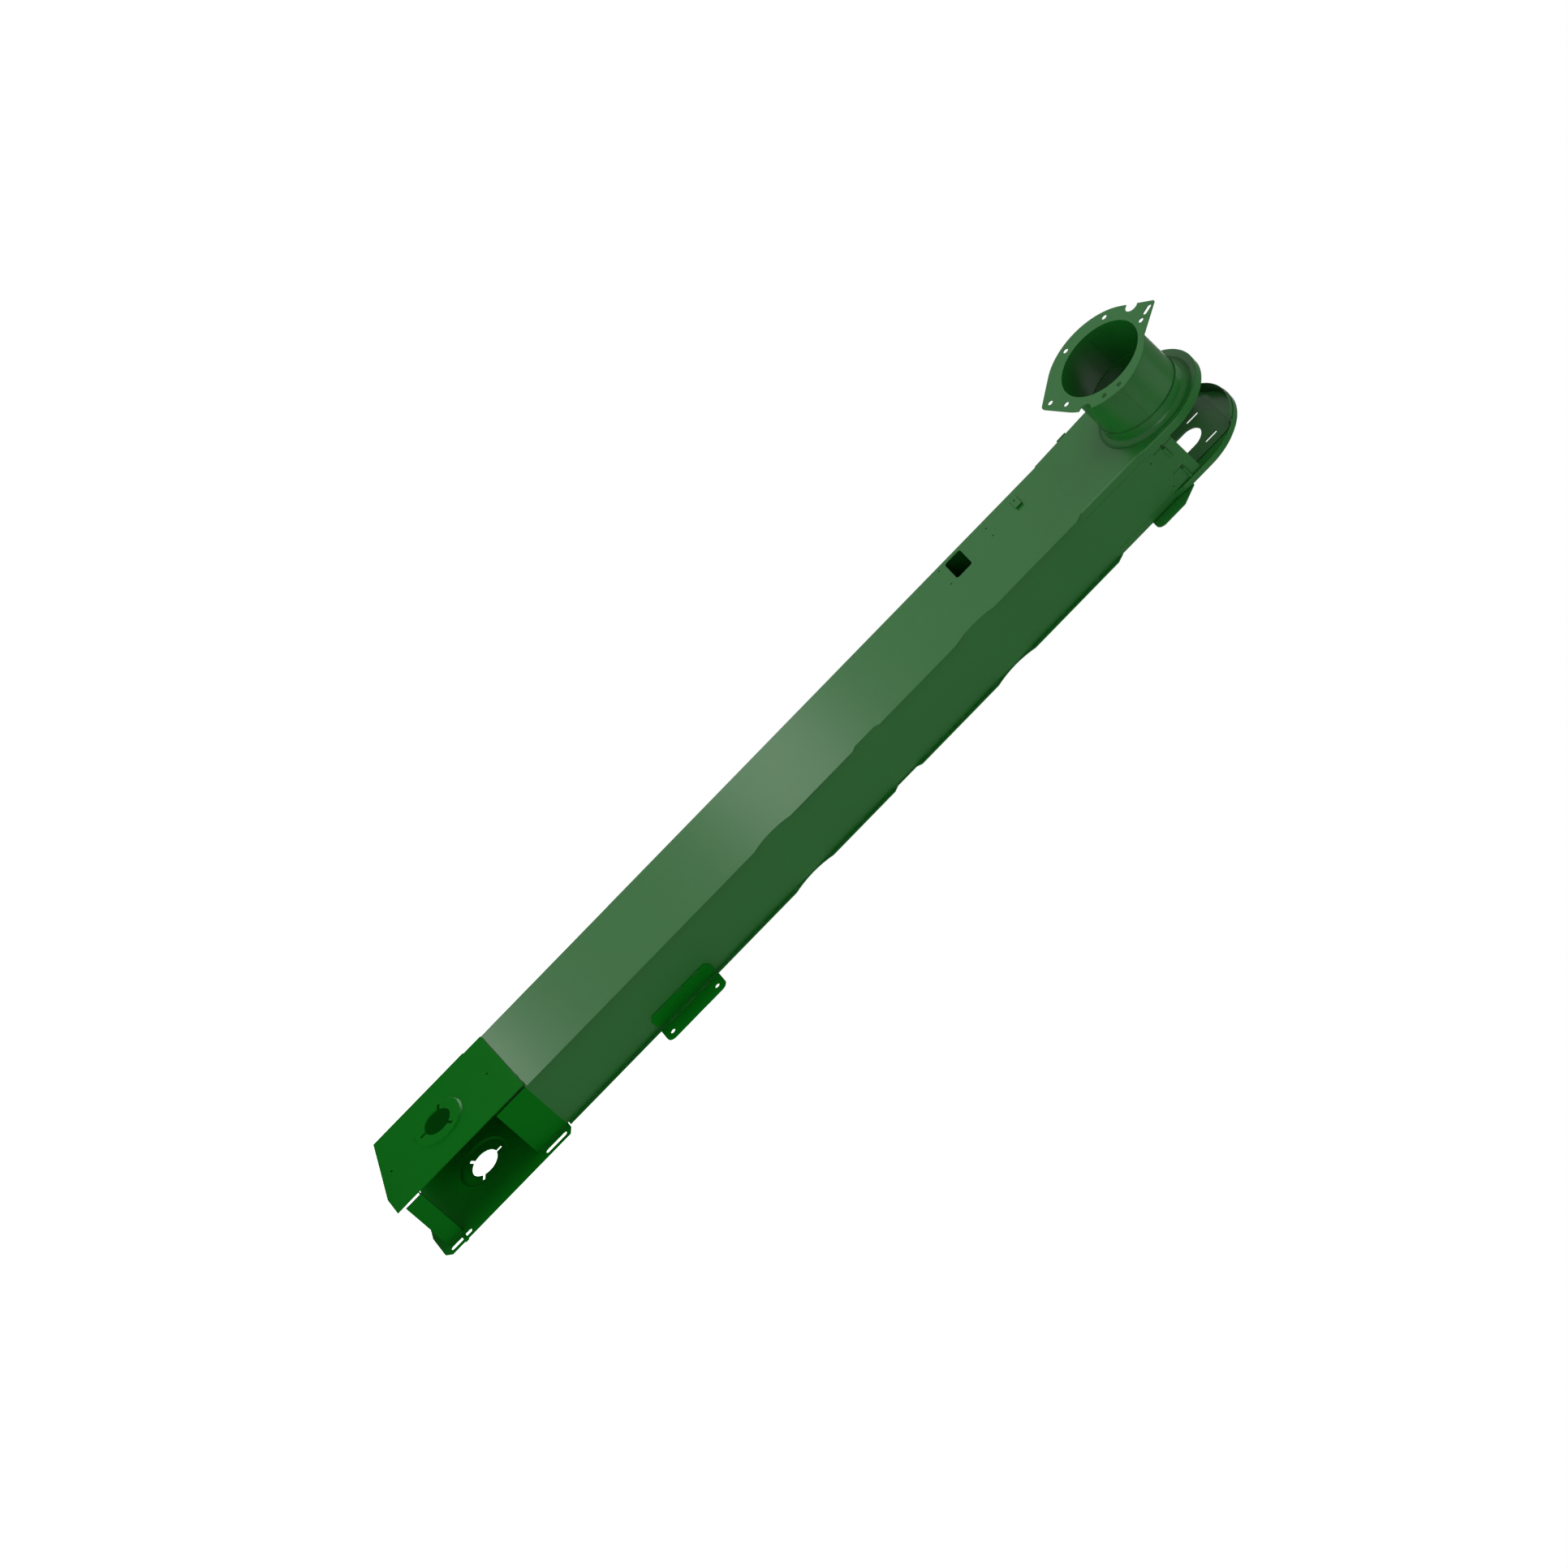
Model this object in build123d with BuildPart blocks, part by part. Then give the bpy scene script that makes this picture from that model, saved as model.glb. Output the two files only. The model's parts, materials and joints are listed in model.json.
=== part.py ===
"""Bare sheet-metal housing of a paddle-chain grain elevator: boot, trunk, head and side spout.

Millimetres. The origin is on the lower shaft's axis, half way between the boot plates.
+Z runs up the trunk, +X faces the front cover, -Y faces the spout.
"""

import os
from math import cos, radians, sin

from build123d import *

os.makedirs("parts", exist_ok=True)

# ---- sheet ----
wall = 2.5                    # trunk and head sheet
boot_wall = 3.0               # boot sheet
bend = 3.0                    # outside radius of a folded edge
weld_gap = 0.5                # slit left between two sheets that meet without touching

# ---- trunk ----
trunk_width = 174.0           # outside, across the two side plates
back_reach = 139.0            # lower shaft axis to the outer face of the back wall
front_reach = 150.5           # lower shaft axis to the outer face of the front cover
lip_height = 12.5             # how far the side plates stand past the front cover
return_width = 20.0           # folded edge of a side plate behind the back wall
tongue_foot = 159.0           # lower end of the trunk sheets, between the boot plates
trunk_top = 2180.0            # joint between trunk and head
lip_foot = 228.0              # lower end of the lips
lip_chamfer = 22.0            # slope at the upper end of the lips

# reliefs in the lips
scallop_length, scallop_depth = 130.0, 11.5
scallop_heights = (1090.0, trunk_top - 379.0)
relief_height, relief_mouth, relief_floor, relief_depth = 1420.0, 98.0, 66.0, 9.5

# ---- boot ----
shaft_hole_radius = 40.5
key_notch_reach, key_notch_width = 57.5, 9.0
boss_radius, boss_rise, boss_slope = 76.0, 5.0, 5.0
boot_top_back, boot_top_front = 215.0, 224.0
boot_heel = -163.0            # lower end of the back edge
boot_back_notch, boot_notch_z = 3.5, 155.0  # the back edge steps in beside the trunk
boot_toe, boot_toe_start = -219.0, 81.0
opening_top, opening_foot = 121.0, -146.0
panel_top, panel_foot = 222.0, -197.5
panel_gap = 8.0               # groove between the near boot plate and the front panels
panel_set_back = 6.0
panel_return = 14.0           # stiffening fold of the lower panel
strap_foot, strap_z, strap_width = 152.0, -153.5, 12.0
flange_reach = 187.0          # front edge of the slotted flange on the far boot plate
flange_top, flange_chamfer = 225.0, 20.0
flange_slot_length, flange_slot_width = 72.0, 14.0
flange_slot_x = 170.5
flange_slot_heights = (172.5, -162.5)
pilot_hole_radius = 3.5
pilot_hole_x = 3.0
pilot_hole_heights = (170.0, -167.0)

# ---- chain divider ----
divider_x = 6.5
divider_foot, divider_top = 150.0, trunk_top + 150.0
divider_flange = 18.0

# ---- level-sensor hatch on the near side ----
hatch_x, hatch_z = -81.5, trunk_top - 301.5
hatch_width, hatch_height, hatch_corner = 84.0, 53.0, 8.0
hatch_screw_radius = 2.5
hatch_screws_below = (79.0, hatch_z - 46.5)     # spacing, height
hatch_screws_above = (44.0, hatch_z + 110.0)
tab_x, tab_z = -89.0, trunk_top - 94.0
tab_width, tab_height, tab_rise = 50.0, 21.0, 6.0
tab_hole_radius, tab_hole_offset = 3.0, 8.0

# ---- side bracket ----
bracket_sheet = 3.0
bracket_z, bracket_length = 648.5, 202.0
bracket_foot, bracket_reach, bracket_corner = 100.0, 222.0, 20.0
bracket_hole_radius, bracket_hole_spacing, bracket_hole_x = 7.2, 156.0, 195.5
pad_sheet, pad_width, pad_length, pad_corner = 2.5, 42.0, 202.0, 12.0

# ---- head, its heights given above the joint with the trunk ----
head_x, head_z, head_radius = 3.0, trunk_top + 309.5, 154.0
head_waist_z = trunk_top + 178.0   # where the head has grown to its full depth at the back
head_foot_back = 142.5        # lower shaft axis to the back edge of the head at the trunk joint
head_step_z, head_step = trunk_top + 220.0, 30.0   # the front edge slants out to the round top here
near_rim_depth, far_rim_depth = 23.0, 18.0
liner_depth, liner_sheet = 30.0, 2.0
liner_bearings = (50.0, 130.0)
head_back_top = trunk_top + 380.0
back_pad_foot, back_pad_top = trunk_top + 82.0, trunk_top + 112.0
back_pad_sheet, back_pad_width = 4.0, 60.0
back_lap = 20.0               # how far the trunk's back wall reaches up inside the head

# take-up of the upper shaft
shaft_x, shaft_z = 12.0, trunk_top + 299.0
take_up = 30.0
upper_shaft_hole_width = 76.0
take_up_spacing, take_up_slot_width = 116.5, 12.0
bearing_plate_width, bearing_plate_height, bearing_plate_corner = 184.0, 234.0, 28.0
bearing_plate_sheet = 3.0

# front panel of the head
head_panel_foot, head_panel_top = trunk_top + 184.0, trunk_top + 287.0
pierce_radius, pierce_z = 5.0, trunk_top + 254.0
pierce_y = (-52.4, 28.0)
bead_length, bead_radius, bead_sheet = 35.0, 5.0, 2.0
slit_width, slit_foot = 1.5, trunk_top + 225.0
pin_hole_radius, pin_hole_z = 2.0, trunk_top + 205.5
pin_hole_y = (-41.0, 54.0)

# lug on the far side of the head
lug_sheet, lug_root = 3.0, 90.0
lug_foot, lug_top, lug_shoulder = trunk_top + 106.0, trunk_top + 244.0, trunk_top + 194.0
lug_reach, lug_corner = 189.0, 22.0

# ---- spout ----
spout_x, spout_z = 12.0, trunk_top + 302.5
spout_bore_radius = 116.5
tube_sheet = 2.0
spout_face = trunk_width / 2 + 185.5  # mid-plane to the outer face of the spout flange
flange_sheet = 2.5
tube_foot = trunk_width / 2 + 38.0    # mid-plane to the joint of tube and collar
spigot_end = trunk_width / 2 + 66.0   # mid-plane to the end of the spigot inside the tube
spigot_sheet = 2.5
collar_radius = spout_bore_radius + 5.5
collar_base_radius = spout_bore_radius + 23.0
collar_cove, collar_sag = 14.0, 3.5
collar_lip = 2.5              # thickness of the collar's edge on the head plate
seam_gap = 0.6
tube_seam_bearing = -8.0

# spout flange: a disc with two ears, each ear bounded by lines at a given distance and bearing
disc_radius = 161.0
bolt_radius = 141.0
flange_hole_radius = 7.5
flange_hole_bearings = (145.2, 198.5, 284.3, 336.1, 354.9)
ear_holes = ((85.1, 137.5), (262.8, 163.0))  # bearing, distance
lower_ear_bearings, lower_ear_corner = (229.0, 294.0), 16.0
upper_ear_bearing, upper_ear_corner = 127.0, 6.0
upper_ear_side_bearing, upper_ear_side_distance = 43.0, 128.5
ear_slot_bearing, ear_slot_distance = 90.7, 166.5
ear_slot_length, ear_slot_width, ear_slot_tilt = 31.0, 13.0, 111.0
thumb_notch_radius = 19.0
thumb_notch_bearings = (114.0, 314.0)
waist_bearings = (60.0, 27.0, -1.0)
waist_distances = (134.0, 147.0, disc_radius)

# ---- derived ----
half = trunk_width / 2
inner = half - wall
boot_outer = half + boot_wall
lip_x = front_reach + lip_height
cover_back = front_reach - wall


def near(y):
    """Sketch plane at distance y from the mid-plane on the spout side, facing the spout."""
    return Plane.XZ.offset(y)


def far(y):
    """Sketch plane at distance y from the mid-plane on the side away from the spout."""
    return Plane.XZ.offset(-y)


def front(x):
    """Sketch plane at distance x in front of the lower shaft, facing forward."""
    return Plane.YZ.offset(x)


def write(piece, label):
    piece.part.label = label
    export_step(piece.part, f"parts/{label}.step")


def face_of(*points):
    """Plain face with straight sides."""
    with BuildSketch() as face:
        with BuildLine():
            Polyline(*points, close=True)
        make_face()
    return face.sketch


def from_centre(bearing, distance, centre=(0.0, 0.0)):
    """Point at a bearing and a distance from a centre."""
    return (
        centre[0] + distance * cos(radians(bearing)),
        centre[1] + distance * sin(radians(bearing)),
    )


def corner_of(bearing_a, distance_a, bearing_b, distance_b):
    """Crossing point of two lines, each given by the bearing and length of its normal."""
    a, b = radians(bearing_a), radians(bearing_b)
    turn = sin(b - a)
    return (
        (distance_a * sin(b) - distance_b * sin(a)) / turn,
        (distance_b * cos(a) - distance_a * cos(b)) / turn,
    )


# ---- trunk ----
def trunk_side_face():
    """Side plate of the trunk, with its tongue inside the boot and its reliefs in the lip."""
    scallop_radius = (scallop_length**2 / 4 + scallop_depth**2) / (2 * scallop_depth)
    scallop_x = lip_x - scallop_depth + scallop_radius
    floor_x = lip_x - relief_depth
    with BuildSketch() as side:
        add(face_of(
            (-back_reach, tongue_foot),
            (front_reach - boot_wall, tongue_foot),
            (front_reach - boot_wall, lip_foot),
            (lip_x, lip_foot),
            (lip_x, trunk_top - lip_chamfer),
            (front_reach, trunk_top),
            (-back_reach, trunk_top),
        ))
        with Locations(*[(scallop_x, z) for z in scallop_heights]):
            Circle(scallop_radius, mode=Mode.SUBTRACT)
        add(face_of(
            (lip_x + 1, relief_height - relief_mouth / 2),
            (floor_x, relief_height - relief_floor / 2),
            (floor_x, relief_height + relief_floor / 2),
            (lip_x + 1, relief_height + relief_mouth / 2),
        ), mode=Mode.SUBTRACT)
    return side.sketch


def back_return_face():
    """Folded edge of a side plate, drawn in the side plate's plane."""
    return face_of(
        (-back_reach, tongue_foot),
        (-back_reach + wall, tongue_foot),
        (-back_reach + wall, trunk_top),
        (-back_reach, trunk_top),
    )


with BuildPart() as trunk_near_side:
    with BuildSketch(near(inner)):
        add(trunk_side_face())
        with Locations((hatch_x, hatch_z)):
            RectangleRounded(hatch_width, hatch_height, hatch_corner, mode=Mode.SUBTRACT)
        for spacing, height in (hatch_screws_below, hatch_screws_above):
            with Locations((hatch_x - spacing / 2, height), (hatch_x + spacing / 2, height)):
                Circle(hatch_screw_radius, mode=Mode.SUBTRACT)
    extrude(amount=wall)
    with BuildSketch(near(half - return_width)):
        add(back_return_face())
    extrude(amount=return_width)
    fillet(trunk_near_side.edges().filter_by(Axis.Z).group_by(Axis.X)[0].sort_by(Axis.Y)[0], bend)
write(trunk_near_side, "trunk_near_side")

with BuildPart() as trunk_far_side:
    with BuildSketch(far(inner)):
        add(trunk_side_face())
    extrude(amount=-wall)
    with BuildSketch(far(half - return_width)):
        add(back_return_face())
    extrude(amount=-return_width)
    fillet(trunk_far_side.edges().filter_by(Axis.Z).group_by(Axis.X)[0].sort_by(Axis.Y)[-1], bend)
write(trunk_far_side, "trunk_far_side")

back_inside = -back_reach + wall
with BuildPart() as trunk_back_wall:
    with BuildSketch(front(back_inside)):
        with Locations((0, (tongue_foot + trunk_top + back_lap) / 2)):
            Rectangle(2 * inner, trunk_top + back_lap - tongue_foot)
    extrude(amount=wall)
write(trunk_back_wall, "trunk_back_wall")

# The front cover reaches past the trunk joint to the head panel, between the head's folded rims.
cover_near_edge = -half + near_rim_depth + weld_gap
cover_far_edge = half - far_rim_depth - weld_gap
with BuildPart() as front_cover:
    with BuildSketch(front(cover_back)):
        with Locations((0, (panel_top + trunk_top) / 2)):
            Rectangle(2 * inner, trunk_top - panel_top)
        with Locations(((cover_near_edge + cover_far_edge) / 2, (trunk_top + head_panel_foot) / 2)):
            Rectangle(cover_far_edge - cover_near_edge, head_panel_foot - trunk_top)
    extrude(amount=wall)
write(front_cover, "front_cover")

with BuildPart() as chain_divider:
    with BuildSketch(front(divider_x - wall / 2)):
        with Locations((0, (divider_foot + divider_top) / 2)):
            Rectangle(2 * inner, divider_top - divider_foot)
    extrude(amount=wall)
    for side in (-1, 1):
        with BuildSketch(Plane.XZ.offset(side * inner)):
            with Locations((divider_x + divider_flange / 2, (divider_foot + divider_top) / 2)):
                Rectangle(divider_flange, divider_top - divider_foot)
        extrude(amount=-side * wall)
write(chain_divider, "chain_divider")

with BuildPart() as sensor_tab:
    with BuildSketch(near(half)):
        with Locations((tab_x, tab_z)):
            RectangleRounded(tab_width, tab_height, 4)
    extrude(amount=wall)
    with BuildSketch(near(half)):
        with Locations((tab_x + tab_width / 2 - wall / 2, tab_z)):
            Rectangle(wall, tab_height)
    extrude(amount=tab_rise)
    with BuildSketch(near(half)):
        with Locations((tab_x - tab_hole_offset, tab_z)):
            Circle(tab_hole_radius)
    extrude(amount=wall, mode=Mode.SUBTRACT)
write(sensor_tab, "sensor_tab")

with BuildPart() as side_bracket:
    with BuildSketch(far(half)):
        with BuildLine():
            Polyline(
                (bracket_foot, bracket_z - bracket_length / 2),
                (bracket_reach, bracket_z - bracket_length / 2),
                (bracket_reach, bracket_z + bracket_length / 2),
                (bracket_foot, bracket_z + bracket_length / 2),
                close=True,
            )
        make_face()
        fillet(vertices().group_by(Axis.X)[-1], bracket_corner)
        with Locations(*[
            (bracket_hole_x, bracket_z + side * bracket_hole_spacing / 2) for side in (-1, 1)
        ]):
            Circle(bracket_hole_radius, mode=Mode.SUBTRACT)
    extrude(amount=-bracket_sheet)
write(side_bracket, "side_bracket")

with BuildPart() as bracket_pad:
    with BuildSketch(front(front_reach)):
        with Locations((inner - pad_width / 2, bracket_z)):
            Rectangle(pad_width, pad_length)
        chamfer(vertices().group_by(Axis.Y)[0] + vertices().group_by(Axis.Y)[-1], pad_corner)
    extrude(amount=pad_sheet)
write(bracket_pad, "bracket_pad")


# ---- boot ----
def boot_plate_face():
    """Outline shared by both boot plates."""
    return face_of(
        (-back_reach, boot_heel),
        (boot_toe_start, boot_toe),
        (front_reach, boot_toe),
        (front_reach, boot_top_front),
        (-back_reach + boot_back_notch, boot_top_back),
        (-back_reach + boot_back_notch, boot_notch_z),
        (-back_reach, boot_notch_z),
    )


def shaft_hole_face(turn):
    """Lower shaft hole with three key notches, the first at the given bearing."""
    with BuildSketch() as hole:
        Circle(shaft_hole_radius)
        with PolarLocations(key_notch_reach / 2, 3, start_angle=turn):
            Rectangle(key_notch_reach, key_notch_width)
    return hole.sketch


def boss_profile():
    """Half section of the pressed ring around the shaft hole: radius, height above the plate."""
    return face_of(
        (shaft_hole_radius - 5, boss_rise - boot_wall),
        (boss_radius - boss_slope - boot_wall / 2, boss_rise - boot_wall),
        (boss_radius - boot_wall / 2, -boot_wall),
        (boss_radius + boot_wall / 2, -boot_wall),
        (boss_radius + boot_wall / 2, 0),
        (boss_radius, 0),
        (boss_radius - boss_slope, boss_rise),
        (shaft_hole_radius - 5, boss_rise),
    )


with BuildPart() as boot_near_plate:
    with BuildSketch(near(half)):
        add(boot_plate_face())
        Circle(boss_radius + boot_wall / 2, mode=Mode.SUBTRACT)
        with Locations(*[(pilot_hole_x, z) for z in pilot_hole_heights]):
            Circle(pilot_hole_radius, mode=Mode.SUBTRACT)
    extrude(amount=boot_wall)
    with BuildSketch(Plane((0, -boot_outer, 0), x_dir=(1, 0, 0), z_dir=(0, 0, 1))):
        add(mirror(boss_profile(), Plane.XZ))
    revolve(axis=Axis.Y)
    with BuildSketch(near(half)):
        add(shaft_hole_face(30))
    extrude(amount=boss_rise + boot_wall, mode=Mode.SUBTRACT)
write(boot_near_plate, "boot_near_plate")

with BuildPart() as boot_far_plate:
    with BuildSketch(far(half)):
        add(boot_plate_face())
        add(face_of(
            (front_reach - 1, boot_toe),
            (flange_reach - flange_chamfer, boot_toe),
            (flange_reach, boot_toe + flange_chamfer * 0.8),
            (flange_reach, flange_top - flange_chamfer * 0.6),
            (flange_reach - flange_chamfer, flange_top),
            (front_reach - 1, flange_top),
        ))
        Circle(boss_radius + boot_wall / 2, mode=Mode.SUBTRACT)
        with Locations(*[(flange_slot_x, z) for z in flange_slot_heights]):
            SlotOverall(flange_slot_length, flange_slot_width, rotation=90, mode=Mode.SUBTRACT)
    extrude(amount=-boot_wall)
    with BuildSketch(Plane((0, boot_outer, 0), x_dir=(1, 0, 0), z_dir=(0, 0, 1))):
        add(boss_profile())
    revolve(axis=Axis.Y)
    with BuildSketch(far(half)):
        add(shaft_hole_face(90))
    extrude(amount=-boss_rise - boot_wall, mode=Mode.SUBTRACT)
write(boot_far_plate, "boot_far_plate")

with BuildPart() as boot_back_plate:
    with BuildSketch(front(-back_reach)):
        with Locations((0, (boot_heel + boot_notch_z) / 2)):
            Rectangle(2 * half, boot_notch_z - boot_heel)
    extrude(amount=boot_wall)
write(boot_back_plate, "boot_back_plate")

# Both front panels stop short of the near plate. The upper one reaches it with a set-back tongue.
panel_near = -half + panel_gap
with BuildPart() as boot_upper_panel:
    with BuildSketch(front(front_reach - boot_wall)):
        with Locations(((panel_near + half) / 2, (opening_top + panel_top) / 2)):
            Rectangle(half - panel_near, panel_top - opening_top)
    extrude(amount=boot_wall)
    with BuildSketch(front(front_reach - boot_wall)):
        with Locations((panel_near + boot_wall / 2, (opening_top + tongue_foot) / 2)):
            Rectangle(boot_wall, tongue_foot - opening_top)
    extrude(amount=-panel_set_back)
    with BuildSketch(front(front_reach - 2 * boot_wall - panel_set_back)):
        with Locations(((panel_near + boot_wall - half) / 2, (opening_top + tongue_foot) / 2)):
            Rectangle(panel_near + boot_wall + half, tongue_foot - opening_top)
    extrude(amount=boot_wall)
write(boot_upper_panel, "boot_upper_panel")

with BuildPart() as boot_lower_panel:
    with BuildSketch(front(front_reach - boot_wall)):
        with Locations(((panel_near + half) / 2, (panel_foot + opening_foot) / 2)):
            Rectangle(half - panel_near, opening_foot - panel_foot)
    extrude(amount=boot_wall)
    with BuildSketch(front(front_reach - boot_wall)):
        with Locations(((panel_near + half) / 2, opening_foot - boot_wall / 2)):
            Rectangle(half - panel_near, boot_wall)
    extrude(amount=-panel_return)
write(boot_lower_panel, "boot_lower_panel")

with BuildPart() as slot_strap:
    with BuildSketch(far(boot_outer)):
        with Locations(((strap_foot + flange_reach) / 2, strap_z)):
            Rectangle(flange_reach - strap_foot, strap_width)
    extrude(amount=-boot_wall)
write(slot_strap, "slot_strap")


# ---- head ----
def head_face(inset):
    """Outline of a head plate, drawn in by an inset: straight sides under a round top."""
    radius = head_radius - inset
    left, right = head_x - radius, head_x + radius
    with BuildSketch() as outline:
        with BuildLine():
            Polyline(
                (left, head_z),
                (left, head_waist_z),
                (-head_foot_back + inset, trunk_top),
                (front_reach - inset, trunk_top),
                (front_reach - inset, head_step_z - head_step),
                (right, head_step_z),
                (right, head_z),
            )
            ThreePointArc((right, head_z), (head_x, head_z + radius), (left, head_z))
        make_face()
    return outline.sketch


def shaft_slots_face(slot_width):
    """Four bearing slots around the upper shaft opening, all running along the trunk."""
    with BuildSketch() as slots:
        with Locations((shaft_x, shaft_z)):
            SlotOverall(upper_shaft_hole_width + take_up, upper_shaft_hole_width, rotation=90)
            with GridLocations(take_up_spacing, take_up_spacing, 2, 2):
                SlotOverall(slot_width + take_up, slot_width, rotation=90)
    return slots.sketch


def head_pan(side, depth):
    """Head plate with its folded rim, open at the foot. side is -1 for the spout side."""
    outside = Plane.XZ.offset(-side * (half - depth))
    with BuildPart() as pan:
        with BuildSketch(outside):
            add(head_face(0))
        extrude(amount=-side * depth)
        fillet(pan.faces().sort_by(Axis.Y)[0 if side < 0 else -1].edges().filter_by(
            lambda edge: edge.center().Z > trunk_top + 1), bend)
        with BuildSketch(outside):
            add(head_face(wall))
        extrude(amount=-side * (depth - wall), mode=Mode.SUBTRACT)
    return pan.part


with BuildPart() as head_near_plate:
    add(head_pan(-1, near_rim_depth))
    with BuildSketch(near(inner)):
        with Locations((spout_x, spout_z)):
            Circle(spout_bore_radius)
    extrude(amount=wall, mode=Mode.SUBTRACT)
write(head_near_plate, "head_near_plate")

with BuildPart() as head_far_plate:
    add(head_pan(1, far_rim_depth))
    with BuildSketch(far(inner)):
        add(shaft_slots_face(take_up_slot_width))
    extrude(amount=-wall, mode=Mode.SUBTRACT)
write(head_far_plate, "head_far_plate")


def back_edge_x(z):
    """Outer face of the head's slanting back edge at a height between the joint and the waist."""
    share = (z - trunk_top) / (head_waist_z - trunk_top)
    return -head_foot_back + share * (head_x - head_radius + head_foot_back)


with BuildPart() as head_back_pad:
    with BuildSketch(near(half)):
        add(face_of(
            (back_edge_x(back_pad_foot), back_pad_foot),
            (back_edge_x(back_pad_top), back_pad_top),
            (back_edge_x(back_pad_top) - back_pad_sheet, back_pad_top),
            (back_edge_x(back_pad_foot) - back_pad_sheet, back_pad_foot),
        ))
    extrude(amount=-back_pad_width)
write(head_back_pad, "head_back_pad")

head_centre = (head_x, head_z)
with BuildPart() as head_rim_liner:
    with BuildSketch(far(inner)):
        with Locations(head_centre):
            Circle(head_radius - wall)
            Circle(head_radius - wall - liner_sheet, mode=Mode.SUBTRACT)
        add(face_of(
            head_centre,
            *[from_centre(b, 2 * head_radius, head_centre) for b in liner_bearings],
        ), mode=Mode.INTERSECT)
    extrude(amount=liner_depth)
write(head_rim_liner, "head_rim_liner")

with BuildPart() as bearing_plate:
    with BuildSketch(far(inner)):
        with Locations((shaft_x, shaft_z)):
            RectangleRounded(bearing_plate_width, bearing_plate_height, bearing_plate_corner)
        add(shaft_slots_face(take_up_slot_width), mode=Mode.SUBTRACT)
    extrude(amount=bearing_plate_sheet)
write(bearing_plate, "bearing_plate")

# The back sheet lies inside both rims and follows the round top as far as the head's opening.
with BuildPart() as head_back_sheet:
    with BuildSketch(far(inner)):
        add(head_face(wall))
        add(head_face(2 * wall), mode=Mode.SUBTRACT)
        with Locations((head_x - head_radius, (trunk_top + head_back_top) / 2)):
            Rectangle(2 * head_radius - 4 * wall, head_back_top - trunk_top, mode=Mode.INTERSECT)
    extrude(amount=2 * inner)
write(head_back_sheet, "head_back_sheet")

with BuildPart() as head_panel:
    with BuildSketch(front(cover_back)):
        with Locations((
            (cover_near_edge + cover_far_edge) / 2, (head_panel_foot + head_panel_top) / 2
        )):
            Rectangle(cover_far_edge - cover_near_edge, head_panel_top - head_panel_foot)
        with Locations(*[(y, pierce_z) for y in pierce_y]):
            Circle(pierce_radius, mode=Mode.SUBTRACT)
        with Locations(*[(y, pin_hole_z) for y in pin_hole_y]):
            Circle(pin_hole_radius, mode=Mode.SUBTRACT)
        for y, slit_top in zip(pierce_y, (head_panel_top, pierce_z)):
            with Locations((y, (slit_foot + slit_top) / 2)):
                Rectangle(slit_width, slit_top - slit_foot, mode=Mode.SUBTRACT)
    extrude(amount=wall)
write(head_panel, "head_panel")

with BuildPart() as panel_loops:
    for y in pierce_y:
        with BuildSketch(Plane.XZ.offset(-y - pierce_radius)):
            with Locations((front_reach, pierce_z)):
                Circle(bead_radius)
                Circle(bead_radius - bead_sheet, mode=Mode.SUBTRACT)
            with Locations((front_reach + bead_radius, pierce_z)):
                Rectangle(2 * bead_radius, 2 * bead_radius, mode=Mode.INTERSECT)
        extrude(amount=-bead_length)
write(panel_loops, "panel_loops")

with BuildPart() as head_lug:
    with BuildSketch(far(half)):
        with BuildLine():
            Polyline(
                (lug_root, lug_foot),
                (lug_reach, lug_foot),
                (lug_reach, lug_shoulder),
                (head_x + head_radius, lug_top),
                (lug_root, lug_top),
                close=True,
            )
        make_face()
        fillet(vertices().group_by(Axis.Y)[0].sort_by(Axis.X)[-1], lug_corner)
    extrude(amount=-lug_sheet)
write(head_lug, "head_lug")


# ---- spout ----
def spout_plane(y):
    """Sketch plane square to the spout's axis, at distance y from the mid-plane."""
    return Plane((spout_x, -y, spout_z), x_dir=(1, 0, 0), z_dir=(0, -1, 0))


def spout_flange_face():
    """Spout flange about its own centre, with its ears, thumb notches and holes."""
    upper_tip = corner_of(
        upper_ear_bearing, disc_radius, upper_ear_side_bearing, upper_ear_side_distance
    )
    lower_tip = corner_of(
        lower_ear_bearings[0], disc_radius, lower_ear_bearings[1], disc_radius
    )
    waist = [from_centre(b, d) for b, d in zip(waist_bearings, waist_distances)]
    with BuildSketch() as outline:
        with BuildLine():
            left = from_centre(upper_ear_bearing, disc_radius)
            foot = from_centre(lower_ear_bearings[0], disc_radius)
            heel = from_centre(lower_ear_bearings[1], disc_radius)
            ThreePointArc(left, (-disc_radius, 0), foot)
            Polyline(foot, lower_tip, heel)
            ThreePointArc(heel, from_centre(325, disc_radius), waist[2])
            ThreePointArc(waist[2], waist[1], waist[0])
            Polyline(waist[0], upper_tip, left)
        make_face()
        fillet(vertices().group_by(Axis.Y)[-1], upper_ear_corner)
        fillet(vertices().group_by(Axis.Y)[0], lower_ear_corner)
        Circle(spout_bore_radius, mode=Mode.SUBTRACT)
        with Locations(*[from_centre(b, disc_radius) for b in thumb_notch_bearings]):
            Circle(thumb_notch_radius, mode=Mode.SUBTRACT)
        holes = [from_centre(b, bolt_radius) for b in flange_hole_bearings]
        holes += [from_centre(b, d) for b, d in ear_holes]
        with Locations(*holes):
            Circle(flange_hole_radius, mode=Mode.SUBTRACT)
        with Locations(from_centre(ear_slot_bearing, ear_slot_distance)):
            SlotOverall(ear_slot_length, ear_slot_width, rotation=ear_slot_tilt, mode=Mode.SUBTRACT)
    return outline.sketch


with BuildPart() as spout_flange:
    with BuildSketch(spout_plane(spout_face)):
        add(spout_flange_face())
    extrude(amount=-flange_sheet)
write(spout_flange, "spout_flange")

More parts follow.
